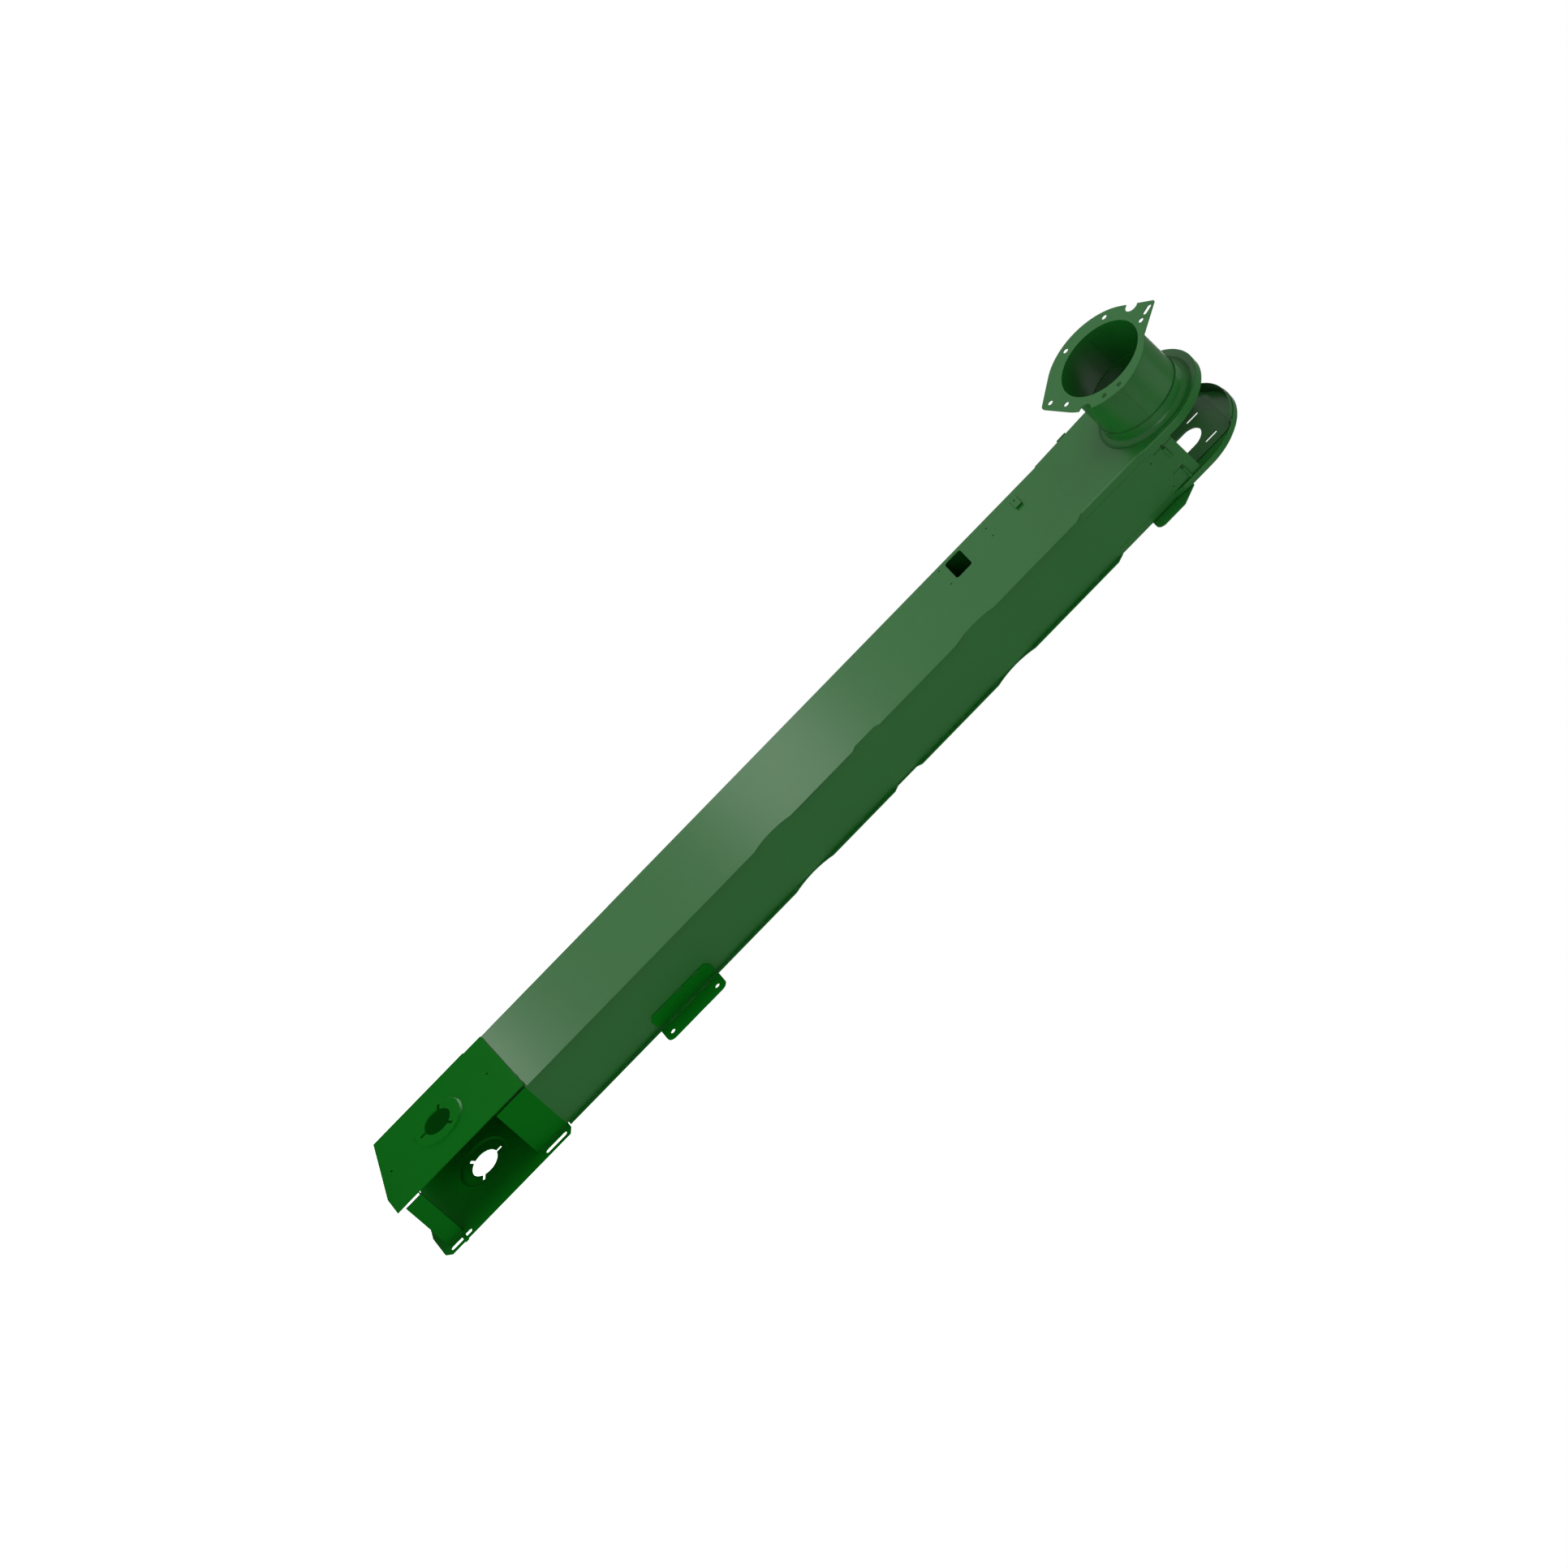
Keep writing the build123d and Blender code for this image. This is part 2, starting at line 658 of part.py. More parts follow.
# The tube is rolled from two half shells, which meet at two lengthwise seams.
for label, turn in (("spout_tube_upper", 0), ("spout_tube_lower", 180)):
    with BuildPart() as tube_half:
        seam = tube_seam_bearing + turn
        with BuildSketch(spout_plane(tube_foot)):
            Circle(spout_bore_radius + tube_sheet)
            Circle(spout_bore_radius, mode=Mode.SUBTRACT)
            # A block over one side of the seams, standing half the gap away from them.
            with Locations(from_centre(seam + 90, 1.5 * spout_bore_radius + seam_gap / 2)):
                Rectangle(
                    3 * spout_bore_radius, 3 * spout_bore_radius, rotation=seam,
                    mode=Mode.INTERSECT,
                )
        extrude(amount=spout_face - flange_sheet - tube_foot)
    write(tube_half, label)

with BuildPart() as spout_collar:
    with BuildSketch(Plane((spout_x, 0, spout_z), x_dir=(1, 0, 0), z_dir=(0, 0, 1))):
        with BuildLine():
            Polyline(
                (spout_bore_radius - spigot_sheet, -inner),
                (spout_bore_radius - spigot_sheet, -spigot_end),
                (spout_bore_radius, -spigot_end),
                (spout_bore_radius, -tube_foot),
                (collar_radius, -tube_foot),
                (collar_radius, -half - collar_cove),
            )
            ThreePointArc(
                (collar_radius, -half - collar_cove),
                ((collar_radius + collar_base_radius) / 2 - collar_sag,
                 -half - (collar_cove + collar_lip) / 2 + collar_sag),
                (collar_base_radius, -half - collar_lip),
            )
            Polyline(
                (collar_base_radius, -half - collar_lip),
                (collar_base_radius, -half),
                (spout_bore_radius, -half),
                (spout_bore_radius, -inner),
                (spout_bore_radius - spigot_sheet, -inner),
            )
        make_face()
    revolve(axis=Axis((spout_x, 0, spout_z), (0, 1, 0)))
write(spout_collar, "spout_collar")
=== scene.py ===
"""Looks of a bare grain elevator housing: green enamel on folded sheet, its welds, and a plain studio."""
import json
import math

import bmesh
import bpy
from mathutils import Matrix, Vector


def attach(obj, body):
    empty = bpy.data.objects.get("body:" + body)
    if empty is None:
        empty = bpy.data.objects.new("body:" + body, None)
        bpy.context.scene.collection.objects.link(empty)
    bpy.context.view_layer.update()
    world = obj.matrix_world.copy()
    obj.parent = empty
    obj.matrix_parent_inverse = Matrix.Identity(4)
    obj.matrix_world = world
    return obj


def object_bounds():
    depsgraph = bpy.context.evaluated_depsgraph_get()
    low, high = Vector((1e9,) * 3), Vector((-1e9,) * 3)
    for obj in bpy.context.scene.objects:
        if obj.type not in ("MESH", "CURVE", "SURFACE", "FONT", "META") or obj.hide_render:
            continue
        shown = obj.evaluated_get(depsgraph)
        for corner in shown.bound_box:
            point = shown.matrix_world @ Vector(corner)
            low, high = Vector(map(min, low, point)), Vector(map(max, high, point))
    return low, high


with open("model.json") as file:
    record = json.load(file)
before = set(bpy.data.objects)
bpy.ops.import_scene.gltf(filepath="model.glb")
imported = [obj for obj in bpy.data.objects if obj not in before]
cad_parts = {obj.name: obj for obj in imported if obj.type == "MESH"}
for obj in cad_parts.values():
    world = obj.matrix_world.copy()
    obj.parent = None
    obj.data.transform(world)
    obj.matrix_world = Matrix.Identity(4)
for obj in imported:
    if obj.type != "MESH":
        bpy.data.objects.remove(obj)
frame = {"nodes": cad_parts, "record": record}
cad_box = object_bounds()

scene = bpy.context.scene
nodes = frame["nodes"]
MM = 1000.0                               # millimetres in a metre


# ---- shader groups ----
def node_group(name, inputs, outputs):
    """An empty shader group. inputs are (name, kind, default), outputs are (name, kind)."""
    group = bpy.data.node_groups.new(name, "ShaderNodeTree")
    for label, kind, default in inputs:
        socket = group.interface.new_socket(label, in_out="INPUT", socket_type="NodeSocket" + kind)
        socket.default_value = default
    for label, kind in outputs:
        group.interface.new_socket(label, in_out="OUTPUT", socket_type="NodeSocket" + kind)
    return group, group.nodes.new("NodeGroupInput"), group.nodes.new("NodeGroupOutput")


def put(tree, kind, inputs=None, **settings):
    """A node with its settings, and its inputs either linked or set."""
    node = tree.nodes.new("ShaderNode" + kind)
    for key, value in settings.items():
        setattr(node, key, value)
    for key, value in (inputs or {}).items():
        socket = node.inputs[key]
        if isinstance(value, bpy.types.NodeSocket):
            tree.links.new(value, socket)
        else:
            socket.default_value = value
    return node


def math_of(tree, operation, a, b, clamp=False):
    """Output of a sum, a product or the like of two numbers or sockets."""
    return put(tree, "Math", {0: a, 1: b}, operation=operation, use_clamp=clamp).outputs[0]


def blend_of(tree, share, a, b):
    """Colour a turned into colour b by a share."""
    node = put(tree, "Mix", data_type="RGBA")
    for key, value in ((0, share), (6, a), (7, b)):
        if isinstance(value, bpy.types.NodeSocket):
            tree.links.new(value, node.inputs[key])
        else:
            node.inputs[key].default_value = value
    return node.outputs[2]


def make_peel():
    """Skin of sprayed enamel: fine orange peel over the slow waviness of thin sheet."""
    group, given, out = node_group(
        "sprayed_skin",
        [("Peel Size", "Float", 350.0), ("Peel Share", "Float", 0.1), ("Wave Size", "Float", 5.0)],
        [("Height", "Float")])
    place = put(group, "TexCoord").outputs["Object"]
    peel = put(group, "TexNoise", {"Vector": place, "Scale": given.outputs["Peel Size"], "Detail": 2.0})
    wave = put(group, "TexNoise", {"Vector": place, "Scale": given.outputs["Wave Size"], "Detail": 1.0})
    fine = math_of(group, "MULTIPLY", peel.outputs["Fac"], given.outputs["Peel Share"])
    total = math_of(group, "ADD", fine, wave.outputs["Fac"])
    group.links.new(total, out.inputs["Height"])
    return group


EDGE_GAIN = 6.0                           # how fast the edge mask rises as the surface turns


def make_edge():
    """Mask of the cut and folded edges, where enamel runs thin, broken up a little."""
    group, given, out = node_group(
        "thin_edge",
        [("Width", "Float", 0.0025), ("Break Size", "Float", 60.0), ("Strength", "Float", 1.0)],
        [("Mask", "Float")])
    soft = put(group, "Bevel", {"Radius": given.outputs["Width"]}, samples=4)
    flat = put(group, "NewGeometry").outputs["Normal"]
    facing = put(group, "VectorMath", {0: soft.outputs["Normal"], 1: flat}, operation="DOT_PRODUCT")
    turned = math_of(group, "SUBTRACT", 1.0, facing.outputs["Value"])
    raised = math_of(group, "MULTIPLY", turned, EDGE_GAIN, clamp=True)
    place = put(group, "TexCoord").outputs["Object"]
    patch = put(group, "TexNoise", {"Vector": place, "Scale": given.outputs["Break Size"], "Detail": 3.0})
    ragged = math_of(group, "MULTIPLY", raised, patch.outputs["Fac"])
    group.links.new(
        math_of(group, "MULTIPLY", ragged, given.outputs["Strength"], clamp=True), out.inputs["Mask"])
    return group


def make_corner_shade_and_film():
    """Mask of the folds and corners, from how shut in each point is, with a slow cloudy pattern; the
    enamel darkens there as painted shade and turns rougher as a settled film.
    """
    group, given, out = node_group(
        "corner_shade_and_film",
        [("Reach", "Float", 0.012), ("Cloud Size", "Float", 9.0), ("Strength", "Float", 1.0)],
        [("Mask", "Float")])
    shut = put(group, "AmbientOcclusion", {"Distance": given.outputs["Reach"]}, samples=12)
    hidden = math_of(group, "SUBTRACT", 1.0, shut.outputs["AO"], clamp=True)
    place = put(group, "TexCoord").outputs["Object"]
    cloud = put(group, "TexNoise", {"Vector": place, "Scale": given.outputs["Cloud Size"], "Detail": 4.0})
    patchy = math_of(group, "MULTIPLY", hidden, cloud.outputs["Fac"])
    group.links.new(
        math_of(group, "MULTIPLY", patchy, given.outputs["Strength"], clamp=True), out.inputs["Mask"])
    return group


sprayed_skin, thin_edge, corner_shade_and_film = make_peel(), make_edge(), make_corner_shade_and_film()


def use(tree, group, **values):
    """A shader group placed in a material with its own values."""
    node = tree.nodes.new("ShaderNodeGroup")
    node.node_tree = group
    for key, value in values.items():
        node.inputs[key.replace("_", " ")].default_value = value
    return node


def linear(*display):
    """Linear colour of a display colour given as red, green and blue in 0 to 255."""
    shares = [value / 255 for value in display]
    return (*(c / 12.92 if c <= 0.04045 else ((c + 0.055) / 1.055) ** 2.4 for c in shares), 1.0)


# ---- materials ----
DRIFT_SIZE = 3.5                          # noise scale of the slow drift in colour and gloss
DRIFT_GLOSS = 0.08                        # roughness from one end of the drift to the other
# Strength of the fold mask, the share of the colour left in its painted shade, and the roughness its film
# adds.
SHADE_AND_FILM_STRENGTH, PAINTED_SHADE_SHARE, FILM_GLOSS = 0.2, 0.45, 0.25
SKIN_STRENGTH, SKIN_HEIGHT = 0.12, 0.0006
COAT_ROUGHNESS = 0.22


def enamel(name, colour, shade, edge_colour, roughness, specular, coat, edge):
    """Sprayed enamel: a colour drifting to a shade of it, pale thin edges, and painted shade with a
    rougher film in the folds.
    """
    material = bpy.data.materials.new(name)
    material.use_nodes = True
    tree = material.node_tree
    tree.nodes.clear()
    place = put(tree, "TexCoord").outputs["Object"]
    drift = put(tree, "TexNoise", {"Vector": place, "Scale": DRIFT_SIZE, "Detail": 3.0}).outputs["Fac"]
    edges = use(tree, thin_edge, Strength=edge).outputs["Mask"]
    shade_and_film = use(tree, corner_shade_and_film, Strength=SHADE_AND_FILM_STRENGTH).outputs["Mask"]
    # In folds and corners the colour is darkened into painted shade; the enamel there is also rougher.
    painted_shade_colour = (*(PAINTED_SHADE_SHARE * c for c in shade[:3]), 1.0)
    body = blend_of(tree, drift, colour, shade)
    corner_shaded = blend_of(tree, shade_and_film, body, painted_shade_colour)
    worn = blend_of(tree, edges, corner_shaded, edge_colour)
    swing = math_of(tree, "MULTIPLY", drift, DRIFT_GLOSS)
    rough = math_of(tree, "ADD", swing, roughness - DRIFT_GLOSS / 2)
    rougher = math_of(tree, "ADD", rough, math_of(tree, "MULTIPLY", shade_and_film, FILM_GLOSS), clamp=True)
    skin = use(tree, sprayed_skin).outputs["Height"]
    bump = put(tree, "Bump", {"Strength": SKIN_STRENGTH, "Distance": SKIN_HEIGHT, "Height": skin})
    shader = put(tree, "BsdfPrincipled", {
        "Base Color": worn, "Roughness": rougher, "Normal": bump.outputs["Normal"],
        "Specular IOR Level": specular, "Coat Weight": coat, "Coat Roughness": COAT_ROUGHNESS})
    output = put(tree, "OutputMaterial")
    tree.links.new(shader.outputs[0], output.inputs[0])
    return material


# Each enamel has its colour, the shade it drifts to and the colour of its edges.
body_enamel = enamel(
    "body_enamel", linear(10, 84, 20), linear(13, 90, 24), linear(22, 102, 34),
    roughness=0.36, specular=0.5, coat=0.15, edge=0.15)
boot_enamel = enamel(
    "boot_enamel", linear(3, 82, 11), linear(4, 88, 14), linear(14, 102, 26),
    roughness=0.5, specular=0.01, coat=0.03, edge=0.15)
# The inner faces get a greyer copy of the green: painted sheen of light reflected inside the housing.
inner_enamel_painted_sheen = enamel(
    "inner_enamel_painted_sheen", linear(30, 78, 34), linear(36, 84, 40), linear(48, 96, 52),
    roughness=0.42, specular=0.5, coat=0.0, edge=0.15)
weld_enamel = enamel(
    "weld_enamel", linear(8, 74, 16), linear(11, 80, 20), linear(24, 98, 34),
    roughness=0.4, specular=0.4, coat=0.1, edge=0.2)

slot_material = {"body_paint": body_enamel, "boot_paint": boot_enamel, "inner_paint": inner_enamel_painted_sheen}
for row in frame["record"]["subparts"]:
    piece = nodes[row["node"]]
    piece.data.materials.clear()
    piece.data.materials.append(slot_material[row["material_slot"]])


# ---- welds, all given in millimetres ----
BEAD_RADIUS, BEAD_SIDES, BEAD_PITCH = 1.6, 6, 4.0
BEAD_SQUASH = 0.62                        # height of a bead over its width
BEAD_ENDS = (0.35, 0.8)                   # taper of the first and the second ring from each end


def rough_radius(step, seed, radius, unevenness):
    """Radius of a bead at a step along it: the ripples of a hand-run weld over a slow swell."""
    ripple = 0.6 * math.sin(1.9 * step + seed) + 0.4 * math.sin(0.47 * step + 2.3 * seed)
    return radius * (1 + unevenness * ripple)


def join_rings(work, rings):
    """Faces between each ring of corners and the next."""
    for a, b in zip(rings, rings[1:]):
        for k in range(len(a)):
            n = (k + 1) % len(a)
            work.faces.new((a[k], a[n], b[n], b[k]))


def paint_weld(name, work, smooth):
    """The finished mesh as a painted piece on the housing."""
    bmesh.ops.recalc_face_normals(work, faces=work.faces)
    mesh = bpy.data.meshes.new(name)
    work.to_mesh(mesh)
    work.free()
    for face in mesh.polygons:
        face.use_smooth = smooth
    piece = bpy.data.objects.new(name, mesh)
    scene.collection.objects.link(piece)
    mesh.materials.append(weld_enamel)
    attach(piece, "root")


def bead_rings(work, points, normals, radius, seed, sides, unevenness):
    """A round bead along points; each ring is squashed towards the sheet below it."""
    rings = []
    for i, (point, normal) in enumerate(zip(points, normals)):
        ahead = points[min(i + 1, len(points) - 1)] - points[max(i - 1, 0)]
        along = ahead.normalized()
        out = (normal - along * normal.dot(along)).normalized()
        across = along.cross(out)
        end = min(i, len(points) - 1 - i)
        taper = BEAD_ENDS[end] if end < len(BEAD_ENDS) else 1.0
        size = rough_radius(i, seed, radius, unevenness) * taper
        ring = []
        for k in range(sides):
            turn = 2 * math.pi * k / sides
            sideways, raised = size * math.cos(turn), BEAD_SQUASH * size * math.sin(turn)
            ring.append(work.verts.new((point + across * sideways + out * raised) / MM))
        rings.append(ring)
    join_rings(work, rings)
    work.faces.new(list(reversed(rings[0])))
    work.faces.new(rings[-1])


def weld_piece(name, runs, radius=BEAD_RADIUS, sides=BEAD_SIDES, unevenness=0.16,
               pitch=BEAD_PITCH):
    """One painted piece made of runs of weld bead. A run is (points, normal or normals)."""
    work = bmesh.new()
    for seed, (points, normals) in enumerate(runs):
        places = [Vector(point) for point in points]
        if isinstance(normals[0], (int, float)):
            normals = [normals] * len(places)
        facing = [Vector(normal) for normal in normals]
        steps, turned = [places[0]], [facing[0]]
        for a, b, n, m in zip(places, places[1:], facing, facing[1:]):
            count = max(1, round((b - a).length / pitch))
            for k in range(1, count + 1):
                steps.append(a.lerp(b, k / count))
                turned.append(n.lerp(m, k / count).normalized())
        bead_rings(work, steps, turned, radius, seed + len(name), sides, unevenness)
    paint_weld(name, work, smooth=True)


def ring_run(radius, y, lean=1.0, steps=72):
    """Points on a circle about the spout's axis, with normals leaning from the axis to the spout side."""
    points, normals = [], []
    for k in range(steps + 1):
        bearing = math.radians(360.0 * k / steps)
        outward = (math.cos(bearing), math.sin(bearing))
        points.append((SPOUT[0] + radius * outward[0], y, SPOUT[1] + radius * outward[1]))
        normals.append((outward[0], -lean, outward[1]))
    return points, normals


def upright(x, y, foot, top, normal):
    """An upright run of bead from foot to top."""
    return [(x, y, foot), (x, y, top)], normal


def level(y, z, start, end, normal):
    """A level run of bead across the housing, from start to end."""
    return [(start, y, z), (end, y, z)], normal


def stitches(foot, top, x, y, normal, length=22.0, gap=118.0):
    """Short upright weld runs, evenly spread from foot to top."""
    count = max(1, int((top - foot) / gap))
    spread = (top - foot) / count
    middles = [foot + spread * (k + 0.5) for k in range(count)]
    return [upright(x, y, middle - length / 2, middle + length / 2, normal) for middle in middles]


HALF, WALL, BOOT_SHEET = 87.0, 2.5, 3.0   # mid-plane to the outside of the side plates, and the sheets
COVER_X, LIP_X, BACK_X = 150.5, 163.0, -139.0
TRUNK_TOP = 2180.0
SPOUT = (12.0, 2482.5)                    # axis of the spout: x, height
TUBE_OUTSIDE, TUBE_FOOT, FLANGE_BACK = 118.5, -125.0, -270.0
COLLAR_ROOT = TUBE_OUTSIDE + 21.6
SEAM_BEARINGS = (-8.0, 172.0)             # degrees about the spout's axis

weld_piece("collar_root_weld", [ring_run(COLLAR_ROOT, -HALF - 0.6)], 1.3)
weld_piece("collar_tube_weld", [ring_run(TUBE_OUTSIDE + 0.6, TUBE_FOOT - 0.2, lean=0.4)], 1.2)
weld_piece("flange_tube_weld", [ring_run(TUBE_OUTSIDE + 0.6, FLANGE_BACK + 0.6, lean=-0.4)], 1.7)
tube_seams = []
for bearing in SEAM_BEARINGS:
    outward = (math.cos(math.radians(bearing)), math.sin(math.radians(bearing)))
    x, z = (place + (TUBE_OUTSIDE - 0.5) * share for place, share in zip(SPOUT, outward))
    tube_seams.append(([(x, TUBE_FOOT - 2, z), (x, FLANGE_BACK + 1, z)], (outward[0], 0, outward[1])))
weld_piece("tube_seam_welds", tube_seams, 1.2)

# The boot's near plate is sealed on the trunk along its sloping top edge, heavier at the front.
BOOT_LEAN = 0.6                           # the beads there face outwards and a little up
boot_edge = [(-134.0, -HALF - 0.9, 215.9), (60.0, -HALF - 0.9, 222.0), (149.0, -HALF - 0.9, 224.8)]
weld_piece("boot_top_weld", [(boot_edge, (0, -1, BOOT_LEAN))], 1.7)
weld_piece("boot_top_runs", [
    ([(92.0, -HALF - 1.6, 223.4), (112.0, -HALF - 1.6, 224.2)], (0, -1, BOOT_LEAN)),
    ([(126.0, -HALF - 1.8, 224.6), (147.0, -HALF - 1.8, 225.4)], (0, -1, BOOT_LEAN)),
], 2.8)
far_edge = [(-134.0, HALF + 0.9, 215.9), (149.0, HALF + 0.9, 225.0)]
weld_piece("boot_top_far_weld", [(far_edge, (0, 1, BOOT_LEAN))], 1.7)

# The front cover is stitched to both side plates in the corners of the lips.
COVER_WELD_FOOT, COVER_WELD_TOP = 260.0, 2150.0
for side, name in ((-1, "near"), (1, "far")):
    corner = side * (HALF - WALL - 0.5)
    runs = stitches(COVER_WELD_FOOT, COVER_WELD_TOP, COVER_X + 0.5, corner, (1, -0.8 * side, 0))
    weld_piece(f"cover_{name}_welds", runs, 2.0)
weld_piece("head_joint_weld", [level(HALF + 0.2, TRUNK_TOP + 0.2, -132.0, 146.0, (0, 1, 0))], 0.9)

# The bracket is welded along its foot and top on the far plate, and in three runs on the lip.
BRACKET_BACK, BRACKET_FRONT = 101.0, 160.0
BRACKET_FOOT, BRACKET_TOP = 546.6, 750.0
weld_piece("bracket_root_welds", [
    level(HALF + 0.6, BRACKET_FOOT, BRACKET_BACK, BRACKET_FRONT, (0, 1, -1)),
    level(HALF + 0.6, BRACKET_TOP, BRACKET_BACK, BRACKET_FRONT, (0, 1, 1)),
    *(upright(LIP_X + 0.4, HALF - 0.4, foot, top, (1, 0.6, 0))
      for foot, top in ((575.0, 612.0), (630.0, 668.0), (688.0, 724.0))),
], 1.9)
PAD_NEAR, PAD_FAR = 43.0, 79.0
weld_piece("pad_edge_welds", [
    *(upright(153.2, PAD_NEAR, foot, top, (1, -1, 0))
      for foot, top in ((575.0, 600.0), (640.0, 664.0), (698.0, 720.0))),
    *(upright(153.4, PAD_FAR, foot, foot + 8.0, (1, 0, 0)) for foot in (648.0, 697.0)),
], 1.5)

LUG_FOOT, LUG_TOP = 2285.6, 2424.4
LUG_BACK = 89.6
weld_piece("lug_root_welds", [
    level(HALF + 0.6, LUG_FOOT, 91.0, 146.0, (0, 1, -1)),
    level(HALF + 0.6, LUG_TOP, 91.0, 150.0, (0, 1, 1)),
    *(upright(LUG_BACK, HALF + 0.6, foot, foot + 30.0, (-1, 1, 0)) for foot in (2300.0, 2380.0)),
], 1.8)
weld_piece("sensor_tab_welds", [
    level(-HALF - 0.6, 2096.9, -110.0, -70.0, (0, -1, 1)),
    level(-HALF - 0.6, 2075.1, -110.0, -70.0, (0, -1, -1)),
], 1.3)

weld_piece("slot_strap_welds", [
    upright(151.8, HALF + BOOT_SHEET + 0.6, -158.0, -149.0, (-1, 1, 0)),
], 1.2)
weld_piece("boot_back_welds", [
    upright(BACK_X + 0.5, side * (HALF + 0.4), foot, foot + 30.0, (-1, side, 0))
    for side in (-1, 1) for foot in (-150.0, -70.0, 10.0, 90.0)], 1.7)
weld_piece("boot_panel_welds", [
    upright(COVER_X + 0.2, HALF - 0.5, foot, foot + 22.0, (1, -1, 0))
    for foot in (128.0, 165.0, 197.0, -190.0, -170.0)], 1.4)


NUT_SIDES, NUT_BEVEL, NUT_TOP_SHARE = 48, 0.8, 0.93


def nut_ring(work, place, y, reach_at):
    """A ring of corners about a nut's axis; reach_at gives the distance from the axis at a turn."""
    ring = []
    for k in range(NUT_SIDES):
        turn = 2 * math.pi * k / NUT_SIDES
        reach = reach_at(turn)
        corner = (place[0] + reach * math.cos(turn), y, place[2] + reach * math.sin(turn))
        ring.append(work.verts.new(Vector(corner) / MM))
    return ring


def weld_nut(name, place, bore, width, height):
    """Hexagon nut welded inside the near plate: a ring of six flats around a round bore."""
    def flats(grow):
        return lambda turn: grow * width / 2 / math.cos(turn % (math.pi / 3) - math.pi / 6)

    foot, top = place[1], place[1] + height
    work = bmesh.new()
    rings = [nut_ring(work, place, y, flats(grow))
             for y, grow in ((foot, 1.0), (top - NUT_BEVEL, 1.0), (top, NUT_TOP_SHARE))]
    rings += [nut_ring(work, place, y, lambda turn: bore) for y in (top, foot)]
    join_rings(work, rings + rings[:1])
    paint_weld(name, work, smooth=False)


# The weld of the far loop fills its pierced hole from behind.
LOOP_Y, LOOP_Z = 28.0, 2434.0
weld_piece("loop_plug_weld", [
    upright(COVER_X - 6.0, LOOP_Y, LOOP_Z - 8.5, LOOP_Z + 8.5, (1, 0, 0)),
], radius=6.5, sides=12, unevenness=0.05, pitch=2.0)

weld_nut("pilot_weld_nut", (3.0, -HALF, -167.0), bore=3.4, width=13.0, height=6.5)


# ---- studio ----
def soft_panel(name, place, aim, size, power, height=None):
    """A flat lamp at a place, facing a point."""
    lamp = bpy.data.lights.new(name, "AREA")
    lamp.energy = power
    lamp.size = size
    if height:
        lamp.shape, lamp.size_y = "RECTANGLE", height
    holder = bpy.data.objects.new(name, lamp)
    scene.collection.objects.link(holder)
    holder.location = place
    holder.rotation_mode = "QUATERNION"
    holder.rotation_quaternion = (Vector(aim) - Vector(place)).to_track_quat("-Z", "Y")
    return holder


FLOOR_RADIUS, FLOOR_GAP = 14.0, 0.001
floor_mesh = bpy.data.meshes.new("studio_floor")
work = bmesh.new()
bmesh.ops.create_circle(work, cap_ends=True, radius=FLOOR_RADIUS, segments=96)
work.to_mesh(floor_mesh)
work.free()
studio_floor = bpy.data.objects.new("studio_floor", floor_mesh)
studio_floor.location = (0, 0, cad_box[0].z - FLOOR_GAP)
scene.collection.objects.link(studio_floor)
studio_floor.visible_glossy = False       # the enamel mirrors the room's pale air, not the floor
floor_material = bpy.data.materials.new("pale_floor")
floor_material.use_nodes = True
floor_shader = floor_material.node_tree.nodes["Principled BSDF"]
floor_shader.inputs["Base Color"].default_value = (0.86, 0.86, 0.86, 1)
floor_shader.inputs["Roughness"].default_value = 0.9
studio_floor.data.materials.append(floor_material)

world = bpy.data.worlds.new("studio_air")
scene.world = world
world.use_nodes = True
air = world.node_tree
air.nodes.clear()
seen = put(air, "Background", {"Color": (1, 1, 1, 1), "Strength": 1.0})
ambient = put(air, "Background", {"Color": (1, 1, 1, 1), "Strength": 0.25})
path = put(air, "LightPath")
mixed = put(air, "MixShader", {
    0: path.outputs["Is Camera Ray"], 1: ambient.outputs[0], 2: seen.outputs[0]})
air_out = put(air, "OutputWorld")
air.links.new(mixed.outputs[0], air_out.inputs[0])

overhead = soft_panel("overhead_panel", (0.0, -0.5, 5.5), (0, 0, 0), 5.0, 112)
overhead.visible_glossy = False           # it lights the rounded rims without glaring on them
soft_panel("front_panel", (6.0, 0.5, 2.4), (0.1, 0, 1.2), 3.0, 60)
soft_panel("side_panel", (-0.6, -6.0, 2.2), (0, 0, 1.2), 3.0, 140)
soft_panel("back_panel", (-4.0, 4.0, 2.5), (0, 0, 1.2), 3.0, 60)
upper_strip = soft_panel("upper_strip", (-1.35, -0.98, 1.14), (0, -0.09, 1.2), 0.5, 1.2, 0.36)
lower_strip = soft_panel("lower_strip", (-1.35, -0.98, -0.02), (0, -0.09, 0.1), 0.5, 1.45, 0.30)
side_wash = soft_panel("side_wash", (-1.6, -1.15, 1.2), (0, -0.09, 1.2), 0.9, 3.6, 3.6)
side_wash.data.use_shadow = False         # it also reaches into the open head


def light_only(lamps, label, lit):
    """Lamps that light only the objects given."""
    group = bpy.data.collections.new(label)
    for thing in lit:
        group.objects.link(thing)
    for lamp in lamps:
        lamp.light_linking.receiver_collection = group
    return group


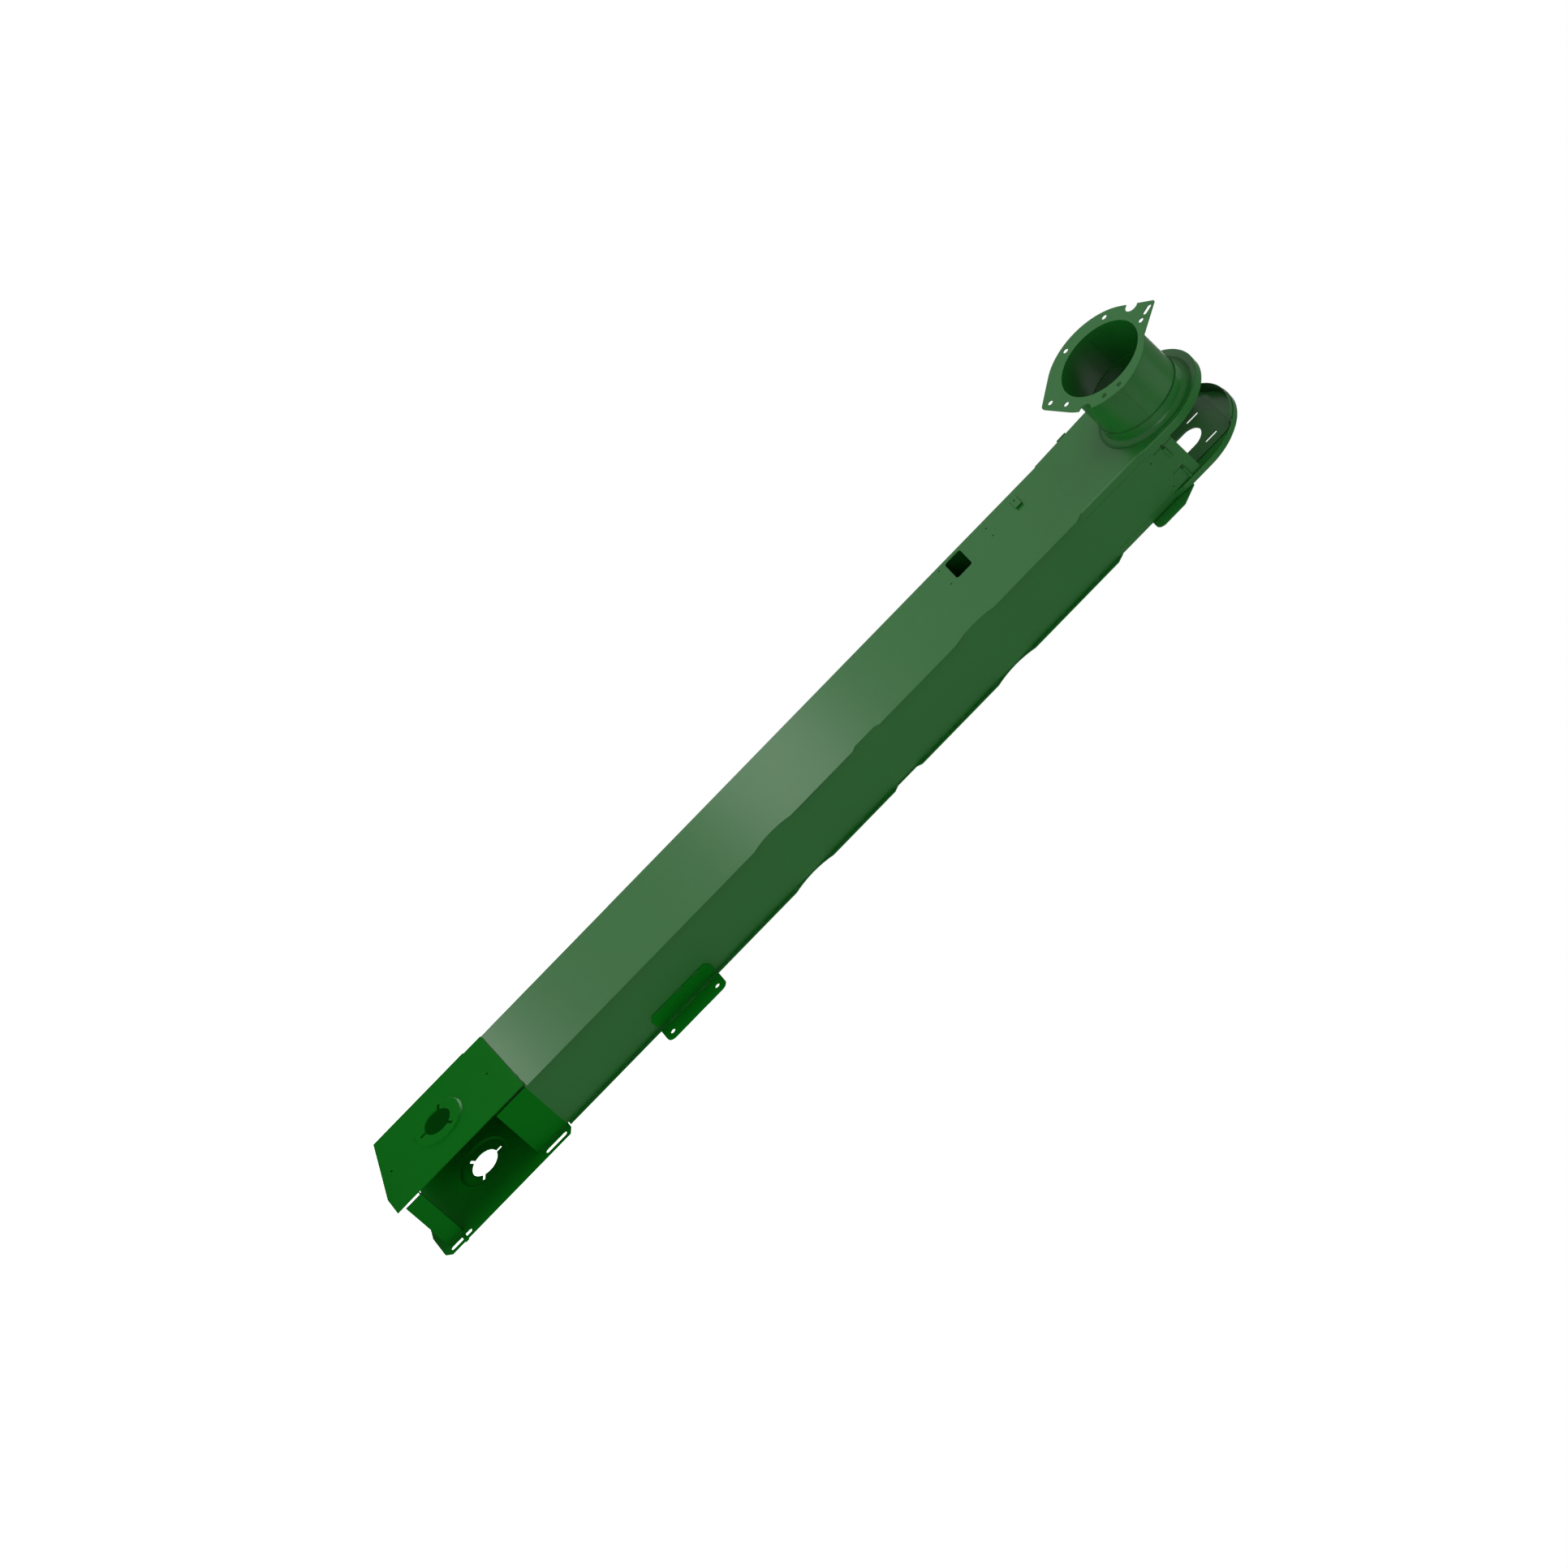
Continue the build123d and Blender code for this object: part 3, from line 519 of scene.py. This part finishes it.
NEAR_PIECES = ("trunk_near_side", "head_near_plate", "spout_flange", "sensor_tab", "head_far_plate",
               "bearing_plate")
light_only((upper_strip, lower_strip), "lit_trunk", [nodes["trunk_near_side"]])
light_only((side_wash,), "lit_near_side", [nodes[name] for name in NEAR_PIECES])


def glint(name, place, aim, size, power, receivers):
    """A soft highlight: a lamp seen only as a sheen on the named pieces."""
    lamp = soft_panel(name, place, aim, size, power)
    lamp.visible_diffuse = False
    lamp.data.use_shadow = False
    light_only((lamp,), "lit_" + name, [nodes[receiver] for receiver in receivers])


glint("ring_glint", (-0.56, -0.32, 0.67), (0.03, -0.09, 0.03), 0.55, 26.0, ("boot_near_plate",))
glint("collar_glint", (-0.45, 0.39, 3.11), (0.05, -0.11, 2.6), 0.22, 0.4, ("spout_collar",))
glint("tube_glint", (0.9, 0.95, 3.8), (0.0, -0.2, 2.48), 1.3, 2.2,
      ("spout_tube_upper", "spout_tube_lower"))

# The floor has a lamp of its own, so it stays evenly pale.
floor_lamp = bpy.data.lights.new("floor_lamp", "SUN")
floor_lamp.energy, floor_lamp.angle = 3.9, math.radians(40)
floor_holder = bpy.data.objects.new("floor_lamp", floor_lamp)
scene.collection.objects.link(floor_holder)
floor_group = light_only((floor_holder,), "lit_floor", [studio_floor])
floor_holder.light_linking.blocker_collection = floor_group

# ---- camera ----
right = Vector((0.371, 0.6134, 0.6973))
up = Vector((-0.4131, -0.5634, 0.7154))
back = Vector((0.8317, -0.5535, 0.0444))
CAMERA_PLACE = (22.358, -14.936, 2.386)
camera_data = bpy.data.cameras.new("studio_camera")
camera_data.lens, camera_data.sensor_width = 250.75, 36.0
camera_data.clip_start, camera_data.clip_end = 1.0, 80.0
camera = bpy.data.objects.new("studio_camera", camera_data)
scene.collection.objects.link(camera)
camera.matrix_world = Matrix((
    (right.x, up.x, back.x, CAMERA_PLACE[0]),
    (right.y, up.y, back.y, CAMERA_PLACE[1]),
    (right.z, up.z, back.z, CAMERA_PLACE[2]),
    (0, 0, 0, 1),
))
scene.camera = camera
scene.view_settings.view_transform = "Standard"
